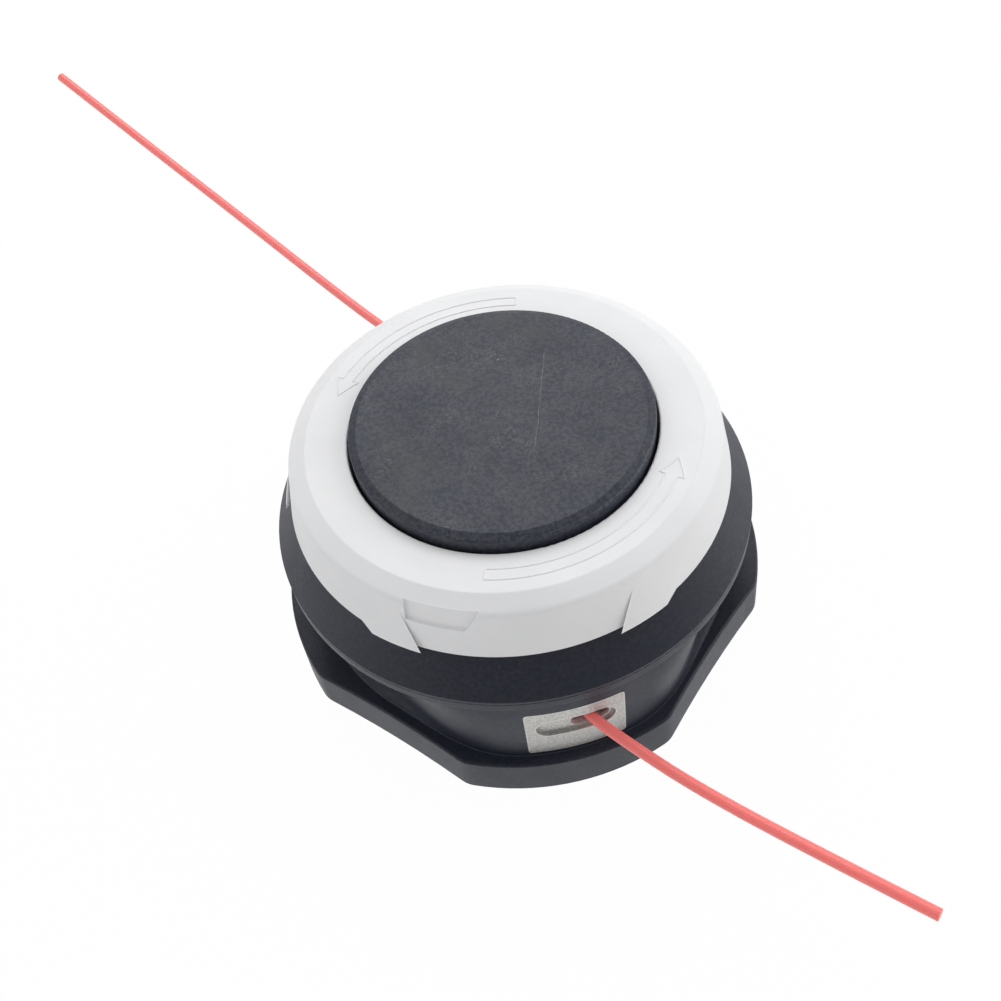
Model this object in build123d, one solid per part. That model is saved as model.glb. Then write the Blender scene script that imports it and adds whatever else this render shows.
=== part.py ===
from build123d import *
from math import atan, cos, degrees, pi, radians, sin, tan
import os

# Base plate, with round lobes and nearly straight sides between them
base_height = 12.6
lobe_count = 4
lobe_reach = 3.8
lobe_half_angle = 24.0
lobe_turn_deg = -2.5
lobe_corner_radius = 8.0
side_dip = 0.8
base_draft_deg = 1.5
base_edge_radius = 0.8
base_rim_wall = 6.2
base_recess_depth = 3.6
base_rib_pairs = 4
base_rib_width = 2.6

# Housing body
cavity_radius = 53.0
floor_top = 7.0
waist_wall = 4.4
boss_rise = 0.4
waist_height = 23.8
rim_height = 3.1
rim_edge_radius = 0.5
seam_edge_radius = 0.35
section_points = 48

# Waist sections from foot to rim: share of the height, how far the sides stand out of the waist,
# how far the front stays back from the boss, and the angles that the front is held and fades over
waist_sections = (
    (0.00, 3.6, 0.0, 13.0, 34.0),
    (0.16, 0.6, 0.0, 14.0, 36.0),
    (0.39, 0.0, 0.0, 16.0, 38.0),
    (0.70, 0.0, 0.2, 20.0, 38.0),
    (0.87, 1.2, 0.5, 24.0, 38.0),
    (1.00, 4.1, 0.9, 28.0, 36.0),
)

# Drive post, hexagon insert and its left-hand thread
post_radius = 15.0
post_rise = 1.4
post_core_radius = 9.0
post_core_web = 3.0
hub_boss_radius = 19.0
insert_across_flats = 19.0
insert_sides = 6
insert_length = 26.0
thread_minor_radius = 5.19
thread_chamfer = 0.9

# Line and the outlets in the wall
line_diameter = 3.0
eyelet_width = 26.0
eyelet_height = 19.1
eyelet_foot = 1.5
eyelet_corner_radius = 1.0
dish_length = 20.8
dish_height = 7.0
dish_depth = 1.1
dish_rise = 2.2
hole_length = 9.4
hole_height = 3.8
hole_offset = 3.9
funnel_depth = 1.5
funnel_flare = 0.6
eyelet_inset = 0.4
cut_margin = 0.2

# Cover ring on the flange seam
cover_height = 11.7
cover_edge_height = 1.0
cover_edge_radius = 0.5
cover_ledge = 4.2
cover_slope = 7.4
cover_wall = 2.6
spigot_depth = 3.9
spigot_wall = 1.9
spigot_clearance = 0.1
upstand_wall = 2.4
upstand_height = 6.8
lip_reach = 0.9
lip_rise = 2.2
lip_height = 1.5
lip_lead = 0.45

# Ratchet between the cover ring and the cap
ratchet_teeth = 24
tooth_depth = 1.2
tooth_rise = 1.2
tooth_run_deg = 11.0
pawl_count = 4
pawl_length_deg = 34.0
pawl_root_deg = 6.0
pawl_slope_deg = 15.4
pawl_thickness = 1.5
pawl_room = 2.6
pawl_tip_clearance = 0.3
ratchet_ring_thickness = 2.6
ratchet_ring_rise = 1.6
ratchet_ring_height = 4.6
ratchet_key_width = 3.0
ratchet_key_depth = 1.0
ratchet_clearance = 0.2

# Winding cap
cap_height = 16.8
cap_lip_room = 2.0
cap_lean = 2.7
cap_bevel_width = 4.8
cap_bevel_drop = 2.5
cap_running_gap = 0.4
cap_wall = 2.6
cap_shoulder_round = 1.2
cap_bevel_round = 2.5
cap_edge_round = 0.5
cap_bead_clearance = 0.4
cap_bead_height = 1.3
cap_bead_lead = 0.45
cap_skirt_thickness = 2.6
dog_count = 6
dog_gap_deg = 36.0
dog_side_play_deg = 1.0
skirt_rise = 6.4

# Lugs and pockets on the cap's wall
lug_height = 1.3
lug_top_height = -0.45
lug_root = 1.3
lug_width = 6.2
lug_turn_deg = 33.0
lug_face_deg = 23.6
left_lug_degs = (0, 60, 120)
right_lug_degs = (0, 120)
cap_mirror_deg = -100.0
pocket_depth = 0.9
pocket_middle_deg = 18.0
pocket_reach = 5.6
pocket_half_width = 9.5
pocket_drop = 5.6
pocket_slant_deg = 30.0

# Bump knob
knob_rise = 4.0
knob_gap = 0.8
knob_bevel_width = 2.2
knob_bevel_drop = 1.0
knob_edge_round = 0.5
knob_plate = 4.0
knob_skirt = 2.8
knob_skirt_depth = 11.4
knob_rib_count = 6
knob_rib_width = 2.0
knob_rib_depth = 4.9
knob_plug_wall = 2.4
knob_plug_depth = 16.4
snap_bead_height = 0.7
snap_bead_length = 2.0
snap_clearance = 0.2

# Spool, spring and the wound line
bump_travel = 5.0
floor_clearance = 1.2
spool_clearance = 2.6
spool_flange = 1.6
chamber_height = 8.4
divider = 1.4
running_clearance = 0.06
sleeve_wall = 1.8
core_wall = 3.3
spool_roof = 3.6
hub_tube_radius = 25.0
hub_tube_wall = 3.0
winding_depth = 19.0
winding_clearance = 0.1
winding_turns = 3
washer_thickness = 1.2
washer_clearance = 0.4
spring_wire = 2.0
spring_turns = 4.5
spring_clearance = 0.9

# Routes of the two line ends from inside the outlet to the cut end, with heights above the outlet
front_route = (
    (1.2, -57.0, 0.0),
    (3.0, -63.0, 0.0),
    (9.8, -72.4, -0.45),
    (22.4, -88.3, -0.65),
    (40.4, -108.6, 1.2),
    (62.4, -133.2, 5.85),
)
rear_route = (
    (-1.2, 57.0, 0.0),
    (-3.0, 63.0, 0.0),
    (-9.4, 71.6, -0.35),
    (-18.6, 85.0, -0.5),
    (-32.9, 107.7, 0.85),
    (-63.7, 155.8, 9.15),
    (-92.3, 195.3, 20.85),
    (-119.3, 229.8, 34.95),
)
route_run_share = 0.45

# Levels that follow from the sizes above
rim_bottom = base_height + waist_height
seam_z = rim_bottom + rim_height
eyelet_z = base_height + eyelet_foot + eyelet_height / 2
outlet_z = eyelet_z + dish_rise
spool_bottom = floor_top + floor_clearance + bump_travel
lower_chamber = spool_bottom + spool_flange
upper_chamber = lower_chamber + chamber_height + divider
spool_top = upper_chamber + chamber_height + spool_flange
spring_floor = floor_top + washer_thickness
spring_roof = spool_top - spool_roof
cover_top_z = seam_z + cover_height
upstand_top = cover_top_z + upstand_height
ratchet_ring_bottom = cover_top_z + ratchet_ring_rise
cap_bottom = cover_top_z + cap_running_gap
cap_top = cap_bottom + cap_height
cap_bevel_z = cap_top - cap_bevel_drop
cap_skirt_bottom = spool_top + skirt_rise
knob_top = cap_top + knob_rise
knob_plate_bottom = knob_top - knob_plate
knob_plug_bottom = knob_plate_bottom - knob_plug_depth

# Radii that follow from the sizes above
waist_radius = cavity_radius + waist_wall
spigot_radius = cavity_radius - spigot_clearance
upstand_inner_radius = spigot_radius - spigot_wall
upstand_radius = upstand_inner_radius + upstand_wall
lip_radius = upstand_radius + lip_reach
cover_top_radius = upstand_radius + cover_ledge
flange_radius = cover_top_radius + cover_slope
boss_radius = flange_radius + boss_rise
lobe_radius = flange_radius + lobe_reach
cap_bottom_radius = lip_radius + cap_lip_room + cap_wall
cap_bevel_radius = cap_bottom_radius - cap_lean
cap_shoulder_radius = cap_bevel_radius - cap_bevel_width
cap_bead_radius = upstand_radius + cap_bead_clearance
finger_outer = upstand_inner_radius - tooth_depth
finger_inner = finger_outer - pawl_thickness
ratchet_ring_inner = finger_inner - pawl_room - ratchet_ring_thickness
cap_skirt_radius = ratchet_ring_inner - ratchet_clearance
cap_hole_radius = cap_skirt_radius - cap_skirt_thickness
knob_radius = cap_hole_radius - knob_gap
spool_radius = cavity_radius - spool_clearance
sleeve_bore = post_radius + running_clearance
sleeve_radius = sleeve_bore + sleeve_wall
spring_mean_radius = sleeve_radius + spring_clearance + spring_wire / 2
spring_pocket_radius = spring_mean_radius + spring_wire / 2 + spring_clearance
core_radius = spring_pocket_radius + core_wall
winding_radius = core_radius + winding_depth
hub_tube_inner = hub_tube_radius - hub_tube_wall

full_turn = 360
half_turn = 180
quarter_turn = 90
through = 2 * lobe_radius
side_radius = lobe_radius * cos(radians(half_turn / lobe_count - lobe_half_angle)) - side_dip
base_recess_radius = side_radius - base_rim_wall


def polar(radius, angle):
    return (radius * cos(radians(angle)), radius * sin(radians(angle)))


def even_angles(count):
    return [full_turn * step / count for step in range(count)]


def at_angles(solid, angles):
    return [Rot(0, 0, angle) * solid for angle in angles]


def turned(points, rounds=()):
    """Solid of revolution about Z from (radius, height) corners, with a fillet at each listed corner."""
    outline = make_face(Polyline(*[(r, 0, z) for r, z in points], close=True))
    for (r, z), radius in rounds:
        corner = outline.vertices().sort_by_distance((r, 0, z))[0]
        outline = fillet(corner, radius)
    return revolve(outline, Axis.Z)


def disc(radius, bottom, top):
    return Pos(0, 0, (bottom + top) / 2) * Cylinder(radius, top - bottom)


def tube(outer, inner, bottom, top):
    return disc(outer, bottom, top) - disc(inner, bottom, top)


def sector(outer, inner, bottom, top, start, end):
    """Block between two radii, two heights and two angles."""
    middle = (start + end) / 2
    outline = make_face(
        [
            Line(polar(inner, start), polar(outer, start)),
            ThreePointArc(polar(outer, start), polar(outer, middle), polar(outer, end)),
            Line(polar(outer, end), polar(inner, end)),
            ThreePointArc(polar(inner, end), polar(inner, middle), polar(inner, start)),
        ]
    )
    return Pos(0, 0, bottom) * extrude(outline, top - bottom, dir=(0, 0, 1))


# Housing

def base_outline(inset):
    """Lobed outline of the base plate, drawn in by the inset."""
    edges = []
    lobe = lobe_radius - inset
    side = side_radius - inset
    pitch = full_turn / lobe_count
    for angle in even_angles(lobe_count):
        centre = angle + lobe_turn_deg
        lobe_start = polar(lobe, centre - lobe_half_angle)
        lobe_end = polar(lobe, centre + lobe_half_angle)
        next_lobe = polar(lobe, centre + pitch - lobe_half_angle)
        edges.append(ThreePointArc(lobe_start, polar(lobe, centre), lobe_end))
        edges.append(ThreePointArc(lobe_end, polar(side, centre + pitch / 2), next_lobe))
    outline = make_face(edges)
    return fillet(outline.vertices(), lobe_corner_radius)


def waist_section(height, side, front, hold, fade):
    """Closed section that is held at the front radius by the outlets and fades to the side radius."""
    points = []
    for angle in even_angles(section_points):
        away = abs(angle % half_turn - quarter_turn)
        share = min(max((away - hold) / fade, 0), 1)
        weight = (1 + cos(pi * share)) / 2
        points.append(polar(side + (front - side) * weight, angle))
    return Pos(0, 0, height) * make_face(Spline(*points, periodic=True))


def waist():
    """Wall that is flush with the flange at the outlets and scooped out between them."""
    foot = base_height - base_edge_radius
    top = seam_z - rim_height / 2
    sections = []
    for share, side_out, front_back, hold, fade in waist_sections:
        height = foot + (top - foot) * share
        side = waist_radius + side_out
        sections.append(waist_section(height, side, boss_radius - front_back, hold, fade))
    return loft(sections)


def outlet_block():
    depth = lobe_radius - cavity_radius
    block = Box(eyelet_width, depth, eyelet_height)
    block = fillet(block.edges().filter_by(Axis.Y), eyelet_corner_radius)
    return Pos(0, -cavity_radius - depth / 2, eyelet_z) * block


def insert_outline():
    return RegularPolygon(insert_across_flats / 2, insert_sides, major_radius=False)


def underside_recess():
    recess = tube(base_recess_radius, hub_boss_radius, 0, base_recess_depth)
    rib = Pos(0, 0, base_recess_depth / 2) * Box(through, base_rib_width, base_recess_depth)
    for solid in at_angles(rib, [half_turn * step / base_rib_pairs for step in range(base_rib_pairs)]):
        recess -= solid
    return recess


def base_plate():
    inset = base_height * tan(radians(base_draft_deg))
    plate = loft([base_outline(0), Pos(0, 0, base_height) * base_outline(inset)], ruled=True)
    top_edges = plate.faces().sort_by(Axis.Z)[-1].edges()
    return fillet(top_edges, base_edge_radius)


def housing():
    rim = turned(
        [(0, rim_bottom), (flange_radius, rim_bottom), (flange_radius, seam_z), (0, seam_z)],
        [((flange_radius, rim_bottom), rim_edge_radius), ((flange_radius, seam_z), seam_edge_radius)],
    )
    body = base_plate() + waist() + rim
    body -= disc(cavity_radius, floor_top, seam_z)
    body -= underside_recess()
    post_top = spool_top + post_rise
    post = disc(post_radius, base_recess_depth, post_top)
    post -= disc(post_core_radius, insert_length + post_core_web, post_top)
    body += post
    body -= extrude(insert_outline(), insert_length, dir=(0, 0, 1))
    for block in at_angles(outlet_block(), (0, half_turn)):
        body -= block
    return body


def drive_insert():
    body = extrude(insert_outline(), insert_length, dir=(0, 0, 1))
    body -= disc(thread_minor_radius, 0, insert_length)
    mouth = Cone(thread_minor_radius + thread_chamfer, thread_minor_radius, thread_chamfer)
    return body - Pos(0, 0, thread_chamfer / 2) * mouth


def outlet_plane(radius, offset):
    """Plane across the front outlet, which faces the drive axis."""
    return Plane((offset, -radius, outlet_z), x_dir=(1, 0, 0), z_dir=(0, 1, 0))


def eyelet(angle):
    """Metal outlet, cut from the same wall that it fills, with a shallow dish and a flared hole in it."""
    start = boss_radius + cut_margin
    floor_radius = boss_radius - dish_depth
    depth = start - spool_radius
    body = waist() & outlet_block()
    body -= disc(cavity_radius + eyelet_inset, 0, seam_z)
    dish = outlet_plane(start, 0) * SlotOverall(dish_length, dish_height)
    body -= extrude(dish, depth, dir=(0, 1, 0)) - disc(floor_radius, 0, seam_z)
    hole = outlet_plane(start, hole_offset) * SlotOverall(hole_length, hole_height)
    body -= extrude(hole, depth, dir=(0, 1, 0))
    mouth = SlotOverall(hole_length + 2 * funnel_flare, hole_height + 2 * funnel_flare)
    mouth = outlet_plane(floor_radius, hole_offset) * mouth
    body -= extrude(mouth, funnel_depth, dir=(0, 1, 0), taper=degrees(atan(funnel_flare / funnel_depth)))
    return Rot(0, 0, angle) * body


# Cover ring and ratchet

def cover_ring():
    shell_top = cover_top_z - cover_wall
    edge_top = seam_z + cover_edge_height
    lip_bottom = cover_top_z + lip_rise
    lip_top = lip_bottom + lip_height
    points = [
        (upstand_inner_radius, seam_z - spigot_depth),
        (spigot_radius, seam_z - spigot_depth),
        (spigot_radius, shell_top),
        (cover_top_radius - cover_wall, shell_top),
        (flange_radius - cover_wall, seam_z),
        (flange_radius, seam_z),
        (flange_radius, edge_top),
        (cover_top_radius, cover_top_z),
        (upstand_radius, cover_top_z),
        (upstand_radius, lip_bottom - lip_lead),
        (lip_radius, lip_bottom),
        (lip_radius, lip_top),
        (upstand_radius, lip_top + lip_reach),
        (upstand_radius, upstand_top),
        (upstand_inner_radius, upstand_top),
    ]
    rounds = [
        ((flange_radius, seam_z), seam_edge_radius),
        ((flange_radius, edge_top), cover_edge_radius),
        ((cover_top_radius, cover_top_z), cover_edge_radius),
    ]
    body = turned(points, rounds)
    root = upstand_inner_radius + tooth_depth
    gap = make_face(
        Polyline(
            polar(finger_outer, 0), polar(root, 0), polar(finger_outer, 2 * tooth_run_deg), close=True
        )
    )
    tooth_bottom = cover_top_z + tooth_rise
    gap = Pos(0, 0, tooth_bottom) * extrude(gap, upstand_top - tooth_bottom, dir=(0, 0, 1))
    for cut in at_angles(gap, even_angles(ratchet_teeth)):
        body -= cut
    return body


def key_block(play):
    """Key on the cap's skirt; with play it is the notch in the ratchet ring."""
    start = cap_skirt_radius - ratchet_key_depth
    width = ratchet_key_width + 2 * play
    length = 2 * ratchet_key_depth + ratchet_clearance + play
    height = ratchet_ring_height + 2 * play
    middle = ratchet_ring_bottom + ratchet_ring_height / 2
    return Pos(start + length / 2, 0, middle) * Box(length, width, height)


def ratchet_ring():
    """Ring keyed on the cap's skirt, with spring fingers that end in a pawl."""
    inner = ratchet_ring_inner
    top = ratchet_ring_bottom + ratchet_ring_height
    tip_root = finger_inner + pawl_thickness / 2
    tip_radius = upstand_inner_radius + tooth_depth - pawl_tip_clearance
    play = degrees(pawl_tip_clearance / upstand_inner_radius)
    tip = make_face(
        Polyline(
            polar(tip_root, play), polar(tip_radius, play), polar(tip_root, pawl_slope_deg), close=True
        )
    )
    tip = Pos(0, 0, ratchet_ring_bottom) * extrude(tip, ratchet_ring_height, dir=(0, 0, 1))
    finger = sector(finger_outer, finger_inner, ratchet_ring_bottom, top, play, pawl_length_deg)
    root_start = pawl_length_deg - pawl_root_deg
    root_inner = inner + ratchet_ring_thickness / 2
    root = sector(finger_outer, root_inner, ratchet_ring_bottom, top, root_start, pawl_length_deg)
    body = tube(inner + ratchet_ring_thickness, inner, ratchet_ring_bottom, top)
    for solid in at_angles(finger + tip + root, even_angles(pawl_count)):
        body += solid
    for notch in at_angles(key_block(ratchet_clearance), even_angles(pawl_count)):
        body -= notch
    return body


# Winding cap

def cap_wall_radius(height):
    share = (height - cap_bottom) / (cap_bevel_z - cap_bottom)
    return cap_bottom_radius + (cap_bevel_radius - cap_bottom_radius) * share


def cap_shell():
    plate_bottom = cap_top - cap_wall
    bead_top = cap_bottom + cap_bead_height
    points = [
        (cap_hole_radius, cap_top),
        (cap_shoulder_radius, cap_top),
        (cap_bevel_radius, cap_bevel_z),
        (cap_bottom_radius, cap_bottom),
        (cap_bead_radius, cap_bottom),
        (cap_bead_radius, bead_top - cap_bead_lead),
        (cap_wall_radius(bead_top) - cap_wall, bead_top),
        (cap_bevel_radius - cap_wall, cap_bevel_z - cap_wall),
        (cap_shoulder_radius - cap_wall, plate_bottom),
        (cap_skirt_radius, plate_bottom),
        (cap_skirt_radius, cap_skirt_bottom),
        (cap_hole_radius, cap_skirt_bottom),
    ]
    rounds = [
        ((cap_shoulder_radius, cap_top), cap_shoulder_round),
        ((cap_bevel_radius, cap_bevel_z), cap_bevel_round),
        ((cap_hole_radius, cap_top), cap_edge_round),
        ((cap_bottom_radius, cap_bottom), cap_edge_round),
    ]
    return turned(points, rounds)


def lug():
    """Band standing proud of the cap's wall, with sides across the wall at a slant."""
    proud = turned(
        [
            (cap_bottom_radius - lug_root, cap_bottom),
            (cap_bottom_radius + lug_height, cap_bottom),
            (cap_bevel_radius + lug_top_height, cap_bevel_z),
            (cap_bevel_radius - lug_root, cap_bevel_z),
        ]
    )
    face_x, face_y = polar(cap_bottom_radius + lug_height, -lug_face_deg)
    height = cap_bevel_z - cap_bottom
    band = Pos(0, -lug_width / 2, cap_bottom + height / 2) * Box(lobe_radius, lug_width, height)
    return proud & (Pos(face_x, face_y, 0) * Rot(0, 0, lug_turn_deg) * band)


def pocket():
    """Shallow flat between a lug and a slanting step, which runs out at the bevel."""
    low = cap_bevel_z - pocket_drop
    slant = (cap_top - low) * tan(radians(pocket_slant_deg))
    face = make_face(
        Polyline(
            (-pocket_half_width, low),
            (pocket_reach, low),
            (pocket_reach + slant, cap_top),
            (-pocket_half_width, cap_top),
            close=True,
        )
    )
    wall_plane = Plane((cap_hole_radius, 0, 0), x_dir=(0, 1, 0), z_dir=(1, 0, 0))
    block = extrude(wall_plane * face, lobe_radius - cap_hole_radius, dir=(1, 0, 0))
    block -= turned(
        [
            (0, low),
            (cap_wall_radius(low) - pocket_depth, low),
            (cap_wall_radius(cap_top) - pocket_depth, cap_top),
            (0, cap_top),
        ]
    )
    return Rot(0, 0, -pocket_middle_deg) * block


def winding_cap():
    body = cap_shell()
    for solid in at_angles(lug(), [cap_mirror_deg - angle for angle in left_lug_degs]):
        body += solid
    other_hand = mirror(lug(), about=Plane.XZ)
    for solid in at_angles(other_hand, [cap_mirror_deg + angle for angle in right_lug_degs]):
        body += solid
    for cut in at_angles(pocket() - lug(), (cap_mirror_deg, cap_mirror_deg + half_turn)):
        body -= cut
    gap = sector(
        cap_skirt_radius + cap_running_gap,
        cap_hole_radius - cap_running_gap,
        cap_skirt_bottom,
        cap_skirt_bottom + bump_travel,
        -dog_gap_deg / 2,
        dog_gap_deg / 2,
    )
    for cut in at_angles(gap, even_angles(dog_count)):
        body -= cut
    for key in at_angles(key_block(0), even_angles(pawl_count)):
        body += key
    return body


# Bump knob

def bump_knob():
    skirt_bottom = knob_top - knob_skirt_depth
    skirt_inner = knob_radius - knob_skirt
    plug_radius = hub_tube_inner - snap_clearance
    plug_inner = plug_radius - knob_plug_wall
    bead_top = knob_plug_bottom + snap_bead_length
    wall_top = knob_top - knob_bevel_drop
    points = [
        (0, knob_top),
        (knob_radius - knob_bevel_width, knob_top),
        (knob_radius, wall_top),
        (knob_radius, skirt_bottom),
        (skirt_inner, skirt_bottom),
        (skirt_inner, knob_plate_bottom),
        (plug_radius, knob_plate_bottom),
        (plug_radius, bead_top),
        (plug_radius + snap_bead_height, bead_top),
        (plug_radius, knob_plug_bottom),
        (plug_inner, knob_plug_bottom),
        (plug_inner, knob_plate_bottom),
        (0, knob_plate_bottom),
    ]
    rounds = [
        ((knob_radius - knob_bevel_width, knob_top), knob_edge_round),
        ((knob_radius, wall_top), knob_edge_round),
    ]
    body = turned(points, rounds)
    rib_start = hub_tube_radius + snap_clearance
    rib_length = skirt_inner - rib_start
    rib = Box(rib_length, knob_rib_width, knob_rib_depth)
    rib = Pos(rib_start + rib_length / 2, 0, knob_plate_bottom - knob_rib_depth / 2) * rib
    for solid in at_angles(rib, even_angles(knob_rib_count)):
        body += solid
    return body


# Spool, spring and wound line

def spool():
    groove_radius = hub_tube_inner + snap_bead_height
    groove_bottom = knob_plug_bottom - snap_clearance
    groove_top = knob_plug_bottom + snap_bead_length + snap_clearance
    divider_bottom = lower_chamber + chamber_height
    points = [
        (sleeve_bore, spool_bottom),
        (sleeve_radius, spool_bottom),
        (sleeve_radius, spring_roof),
        (spring_pocket_radius, spring_roof),
        (spring_pocket_radius, spool_bottom),
        (spool_radius, spool_bottom),
        (spool_radius, lower_chamber),
        (core_radius, lower_chamber),
        (core_radius, divider_bottom),
        (spool_radius, divider_bottom),
        (spool_radius, upper_chamber),
        (core_radius, upper_chamber),
        (core_radius, upper_chamber + chamber_height),
        (spool_radius, upper_chamber + chamber_height),
        (spool_radius, spool_top),
        (hub_tube_radius, spool_top),
        (hub_tube_radius, knob_plate_bottom),
        (hub_tube_inner, knob_plate_bottom),
        (hub_tube_inner, groove_top),
        (groove_radius, groove_top),
        (groove_radius, groove_bottom),
        (hub_tube_inner, groove_bottom),
        (hub_tube_inner, spool_top),
        (sleeve_bore, spool_top),
    ]
    body = turned(points)
    dog_half = dog_gap_deg / 2 - dog_side_play_deg
    dog_top = cap_skirt_bottom + bump_travel - cap_running_gap
    dog = sector(cap_skirt_radius, cap_hole_radius, spool_top, dog_top, -dog_half, dog_half)
    for solid in at_angles(dog, even_angles(dog_count)):
        body += solid
    return body


def line_winding(bottom):
    """Wound line in one chamber, with the outer turns showing as rounded ridges."""
    inner = core_radius + winding_clearance
    start = bottom + winding_clearance
    end = bottom + chamber_height - winding_clearance
    turn = (end - start) / winding_turns
    edges = [
        Line((winding_radius, 0, end), (inner, 0, end)),
        Line((inner, 0, end), (inner, 0, start)),
        Line((inner, 0, start), (winding_radius, 0, start)),
    ]
    for step in range(winding_turns):
        low = start + turn * step
        crown = (winding_radius + turn / 2, 0, low + turn / 2)
        edges.append(ThreePointArc((winding_radius, 0, low), crown, (winding_radius, 0, low + turn)))
    return revolve(make_face(edges), Axis.Z)


def thrust_washer():
    inner = post_radius + washer_clearance
    return tube(spring_pocket_radius - washer_clearance, inner, floor_top, spring_floor)


def spring_seat():
    inner = sleeve_radius + winding_clearance
    outer = spring_pocket_radius - winding_clearance
    return tube(outer, inner, spring_roof - washer_thickness, spring_roof)


def feed_spring():
    start = spring_floor + spring_wire / 2
    height = spring_roof - washer_thickness - spring_wire / 2 - start
    coil = Helix(height / spring_turns, height, spring_mean_radius)
    section = Plane(coil @ 0, x_dir=(1, 0, 0), z_dir=coil % 0) * Circle(spring_wire / 2)
    return Pos(0, 0, start) * sweep(section, path=coil, is_frenet=True)


# Free line ends

def line_end(name, route):
    points = [Vector(x, y, outlet_z + rise) for x, y, rise in route]
    radii = []
    for before, corner, after in zip(points, points[1:], points[2:]):
        arrive = corner - before
        leave = after - corner
        bend = radians(arrive.get_angle(leave)) / 2
        radii.append(route_run_share * min(arrive.length, leave.length) / tan(bend))
    path = FilletPolyline(*points, radius=radii)
    section = Plane(path @ 0, z_dir=path % 0) * Circle(line_diameter / 2)
    solid = sweep(section, path=path)
    expected = pi * (line_diameter / 2) ** 2 * path.length
    print(name, "radii", [round(r) for r in radii], "length", round(path.length, 1))
    print(name, "volume share", round(solid.volume / expected, 4))
    return solid


parts = {
    "housing": housing(),
    "cover_ring": cover_ring(),
    "drive_insert": drive_insert(),
    "eyelet_front": eyelet(0),
    "eyelet_rear": eyelet(half_turn),
    "thrust_washer": thrust_washer(),
    "feed_spring": feed_spring(),
    "spring_seat": spring_seat(),
    "spool": spool(),
    "line_winding_lower": line_winding(lower_chamber),
    "line_winding_upper": line_winding(upper_chamber),
    "ratchet_ring": ratchet_ring(),
    "winding_cap": winding_cap(),
    "bump_knob": bump_knob(),
    "line_front": line_end("line_front", front_route),
    "line_rear": line_end("line_rear", rear_route),
}

os.makedirs("parts", exist_ok=True)
for name, solid in parts.items():
    export_step(solid, f"parts/{name}.step")
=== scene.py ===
import math

import bmesh
import bpy
from mathutils import Matrix, Vector


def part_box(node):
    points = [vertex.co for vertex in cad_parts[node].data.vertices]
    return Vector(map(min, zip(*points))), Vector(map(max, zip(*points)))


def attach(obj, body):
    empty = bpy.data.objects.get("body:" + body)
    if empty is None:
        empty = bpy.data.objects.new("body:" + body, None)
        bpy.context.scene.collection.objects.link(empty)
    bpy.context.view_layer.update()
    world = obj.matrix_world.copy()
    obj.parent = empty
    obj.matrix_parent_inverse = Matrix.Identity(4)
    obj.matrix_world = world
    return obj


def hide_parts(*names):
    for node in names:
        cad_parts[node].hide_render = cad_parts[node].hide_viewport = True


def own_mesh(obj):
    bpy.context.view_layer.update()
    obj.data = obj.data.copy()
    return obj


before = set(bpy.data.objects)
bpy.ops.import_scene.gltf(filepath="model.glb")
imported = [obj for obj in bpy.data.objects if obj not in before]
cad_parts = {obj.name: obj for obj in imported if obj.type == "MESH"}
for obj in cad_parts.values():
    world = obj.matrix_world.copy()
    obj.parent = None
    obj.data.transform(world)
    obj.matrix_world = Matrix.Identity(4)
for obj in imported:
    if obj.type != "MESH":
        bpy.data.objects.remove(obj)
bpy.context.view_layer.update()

MM = 0.001

# Camera, as it stood for the photograph
VIEW_TURN = math.radians(-6.7)
VIEW_ELEVATION = math.radians(51.41)
VIEW_DISTANCE = 320.62 * MM
AIM_HEIGHT = 40.0 * MM
VIEW_PAN = math.radians(0.608)
VIEW_TILT = math.radians(-0.276)
VIEW_ROLL = math.radians(-8.45)
SENSOR_WIDTH = 36.0
LENS = 41.79

# Cutting line, with the points of its two free ends from inside the outlet to the cut end
LINE_DIAMETER = 3.0 * MM
FRONT_ROUTE_MM = (
    (1.2, -57.0, 25.85),
    (3.0, -63.0, 25.85),
    (9.8, -72.4, 25.4),
    (22.4, -88.3, 25.2),
    (40.4, -108.6, 27.05),
    (62.4, -133.2, 31.7),
)
REAR_ROUTE_MM = (
    (-1.2, 57.0, 25.85),
    (-3.0, 63.0, 25.85),
    (-9.4, 71.6, 25.5),
    (-18.6, 85.0, 25.35),
    (-32.9, 107.7, 26.7),
    (-63.7, 155.8, 35.0),
    (-92.3, 195.3, 46.7),
    (-119.3, 229.8, 60.8),
)

# Raised turning arrows on the cap's flat top
ARROW_RADIUS = 46.2 * MM
ARROW_LENGTH = 62.0 * MM
ARROW_HALF_WIDTH = 1.5 * MM
ARROW_HEAD_HALF_WIDTH = 3.2 * MM
ARROW_HEAD_LENGTH = 6.0 * MM
ARROW_START = math.radians(-108.0)
ARROW_COUNT = 2
ARROW_STROKE = 0.56 * MM
ARROW_RELIEF = 0.2 * MM
ARROW_STEP = 0.4 * MM

# Drive thread inside the hexagon insert
THREAD_PITCH = 1.5 * MM
THREAD_MAJOR_RADIUS = 6.0 * MM
THREAD_MINOR_RADIUS = 5.19 * MM
THREAD_MOUTH = 1.1 * MM

# Gate mark in the middle of the knob, as radius and height of its ring
GATE_PROFILE_MM = (
    (0.0, 0.05),
    (0.5, 0.05),
    (0.62, -0.02),
    (0.86, -0.02),
    (1.0, 0.13),
    (1.2, 0.13),
    (1.32, -0.05),
)
GATE_STEPS = 36

# Long scratch across the knob
SCRATCH_START = (16.4 * MM, 18.7 * MM)
SCRATCH_END = (5.5 * MM, -14.3 * MM)
SCRATCH_HALF_WIDTH = 0.14 * MM
SCRATCH_CORE = 0.3 * SCRATCH_HALF_WIDTH
SCRATCH_WANDER = 0.8 * MM
SCRATCH_FADE_IN = 2.0 * MM
SCRATCH_FADE_OUT = 0.9

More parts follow.
